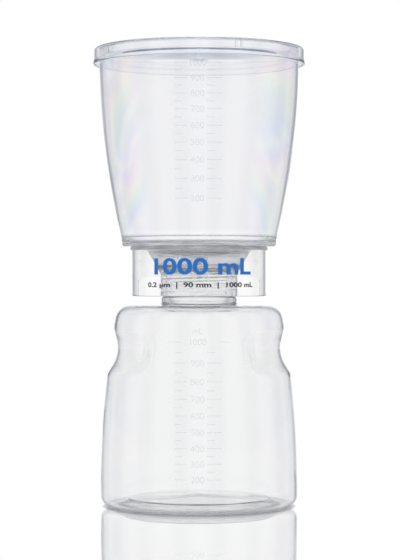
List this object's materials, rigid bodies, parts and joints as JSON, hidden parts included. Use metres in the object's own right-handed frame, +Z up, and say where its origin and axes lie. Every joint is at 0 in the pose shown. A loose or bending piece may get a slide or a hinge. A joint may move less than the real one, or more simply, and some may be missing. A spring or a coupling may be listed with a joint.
{
  "type": "vacuum filtration unit",
  "caption": "Clear bottle-top vacuum filter: a lidded funnel with a flat membrane screwed on to a receiver bottle with finger grips, with a hose barb at the back.",
  "frame": {"origin": "centre of the bottle's foot, on the surface that it stands on", "axes": "+Z up along the common axis of bottle and funnel, -Y to the front with the graduations, +Y along the vacuum port"},
  "size_m": [0.1308, 0.1308, 0.2816],
  "materials": {
    "clear_bottle": "clear blow-moulded polycarbonate, polished",
    "clear_styrene": "clear injection-moulded polystyrene, polished",
    "silicone": "translucent silicone, satin",
    "white_membrane": "white polyethersulfone membrane, matt",
    "white_polypropylene": "natural polypropylene, satin",
    "cotton": "white cotton wadding"
  },
  "bodies": {
    "bottle_body": {"bottle": "clear_bottle"},
    "neck_seal": {"neck_gasket": "silicone"},
    "filter_top": {"filter_base": "clear_styrene", "membrane_support": "clear_styrene", "membrane": "white_membrane", "funnel": "clear_styrene", "lid": "clear_styrene", "hose_connector": "white_polypropylene", "port_plug": "cotton"}
  },
  "joints": [
    {"name": "unscrew_lift", "type": "slide", "parent": "bottle_body", "child": "neck_seal", "axis": [0, 0, 1], "range_m": [0, 0.006]},
    {"name": "unscrew_turn", "type": "hinge", "parent": "neck_seal", "child": "filter_top", "pos_m": [0, 0, 0.147], "axis": [0, 0, 1], "range_deg": [0, 540]}
  ],
  "couplings": [
    {"joint": "unscrew_lift", "follows": "unscrew_turn", "m_per_rad": 0.0006366}
  ]
}
